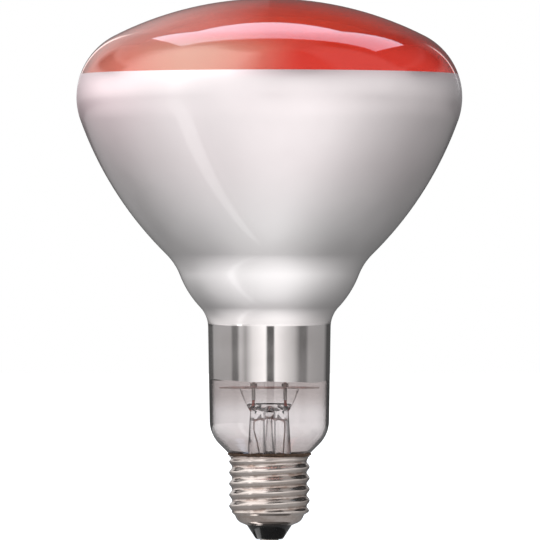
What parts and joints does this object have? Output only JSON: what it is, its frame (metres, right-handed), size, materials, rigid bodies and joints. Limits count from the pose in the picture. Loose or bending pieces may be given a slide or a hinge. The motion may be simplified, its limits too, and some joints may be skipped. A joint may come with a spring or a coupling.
{
  "type": "infrared heat lamp bulb",
  "caption": "Reflector heat lamp bulb: blown glass with red domed face, mirrored back and clear neck over a glass stem and wire mount, with a rolled screw cap and centre contact.",
  "frame": {"origin": "tip of the centre contact, on the lamp's axis, at the lowest point of the part", "axes": "+Z along the lamp's axis from the cap to the red face; +X to the right in the picture, across the flat of the stem's press; -Y towards the picture's viewer"},
  "size_m": [0.1252, 0.1252, 0.1763],
  "materials": {
    "red_glass": "blown hard glass with a clear red lacquer on its outside, glossy",
    "mirrored_glass": "blown hard glass with a satin film of aluminium on its inside, seen through the glossy glass",
    "clear_glass": "blown hard glass, the film inside running on into its upper third and bare below",
    "stem_glass": "clear soft glass, fire polished",
    "copper_wire": "bare copper wire, slightly tarnished",
    "seal_wire": "copper-clad sealing wire, red oxide skin seen through the glass",
    "nickel_wire": "nickel wire and crimped sleeves, dull grey",
    "mica": "thin mica disc, grey-brown and slightly silky",
    "tungsten": "coiled tungsten, dark grey",
    "molybdenum_wire": "thin drawn wire, grey",
    "nickel_plate": "rolled sheet shell with a bright, slightly warm plated finish",
    "cement": "baked capping putty, dark brown and grainy",
    "black_glass": "black moulded insulator glass, glossy",
    "contact_brass": "pressed eyelet, dull",
    "solder": "soft solder button, satin grey"
  },
  "bodies": {
    "root": {"glass_face": "red_glass", "glass_reflector": "mirrored_glass", "glass_neck": "clear_glass", "glass_stem": "stem_glass", "exhaust_tube": "stem_glass", "glass_cane": "stem_glass", "lead_to_contact": "copper_wire", "lead_to_shell": "copper_wire", "dumet_seal_right": "seal_wire", "dumet_seal_left": "seal_wire", "inner_lead_right": "nickel_wire", "inner_lead_left": "nickel_wire", "shield_clip_right": "nickel_wire", "shield_clip_left": "nickel_wire", "heat_shield": "mica", "filament": "tungsten", "filament_clamp_right": "nickel_wire", "filament_clamp_left": "nickel_wire", "filament_support_1": "molybdenum_wire", "filament_support_2": "molybdenum_wire", "filament_support_3": "molybdenum_wire", "filament_support_4": "molybdenum_wire", "cap_shell": "nickel_plate", "capping_cement": "cement", "insulator": "black_glass", "contact_plate": "contact_brass", "contact_solder": "solder"}
  },
  "joints": []
}
